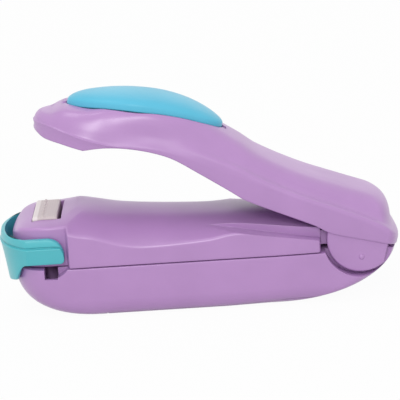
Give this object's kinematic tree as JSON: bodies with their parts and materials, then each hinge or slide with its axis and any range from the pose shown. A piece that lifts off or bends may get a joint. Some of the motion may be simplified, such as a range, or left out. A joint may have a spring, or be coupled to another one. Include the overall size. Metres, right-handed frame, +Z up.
{
  "type": "handheld bag sealer",
  "caption": "Handheld bag sealer: rounded body with a sprung lever arm, oval thumb pad, heated head at the nose, swinging latch bail and sliding battery door.",
  "frame": {"origin": "centre of the footprint at the underside", "axes": "+X from the latch at the nose to the hinge at the tail, +Y across the body, +Z up to the thumb pad"},
  "size_m": [0.1054, 0.034, 0.0569],
  "materials": {
    "lilac_abs": "gloss",
    "teal_abs": "gloss",
    "sky_abs": "gloss",
    "plated_steel": "satin",
    "strip_brass": "satin",
    "ribbon_nichrome": "satin",
    "tape_fabric": "satin",
    "carrier_plastic": "matte",
    "holder_plastic": "satin",
    "pad_silicone": "matte",
    "cell_jacket": "gloss"
  },
  "bodies": {
    "base": {"lower_case": "lilac_abs", "upper_deck": "lilac_abs", "case_screws": "plated_steel", "battery_left": "cell_jacket", "battery_right": "cell_jacket", "bridge_contact": "plated_steel", "positive_contact": "plated_steel", "negative_contact": "plated_steel", "switch_strip": "strip_brass", "return_strip": "strip_brass", "heater_springs": "plated_steel", "hinge_pin": "plated_steel", "arm_spring": "plated_steel"},
    "arm": {"arm_shell": "lilac_abs", "thumb_pad": "sky_abs", "pad_holder": "holder_plastic", "pressure_pad": "pad_silicone", "holder_screws": "plated_steel"},
    "heater": {"heater_carrier": "carrier_plastic", "heating_ribbon": "ribbon_nichrome", "release_tape": "tape_fabric", "heater_legs": "strip_brass"},
    "latch": {"latch_bail": "teal_abs"},
    "door": {"battery_door": "lilac_abs"}
  },
  "joints": [
    {"name": "arm_hinge", "type": "hinge", "parent": "base", "child": "arm", "pos_m": [0.0418, 0, 0.0164], "axis": [0, -1, 0], "range_deg": [0, 14], "stiffness_Nm_per_rad": 0.12, "springref_deg": -25.78, "deforming": ["arm_spring"]},
    {"name": "latch_hinge", "type": "hinge", "parent": "base", "child": "latch", "pos_m": [-0.0393, 0, 0.0176], "axis": [0, 1, 0], "range_deg": [0, 32]},
    {"name": "heater_slide", "type": "slide", "parent": "base", "child": "heater", "axis": [0, 0, -1], "range_m": [0, 0.0012], "stiffness_N_per_m": 600, "springref_m": -0.004, "deforming": ["heater_springs"]},
    {"name": "door_slide", "type": "slide", "parent": "base", "child": "door", "axis": [1, 0, 0], "range_m": [0, 0.008]}
  ]
}
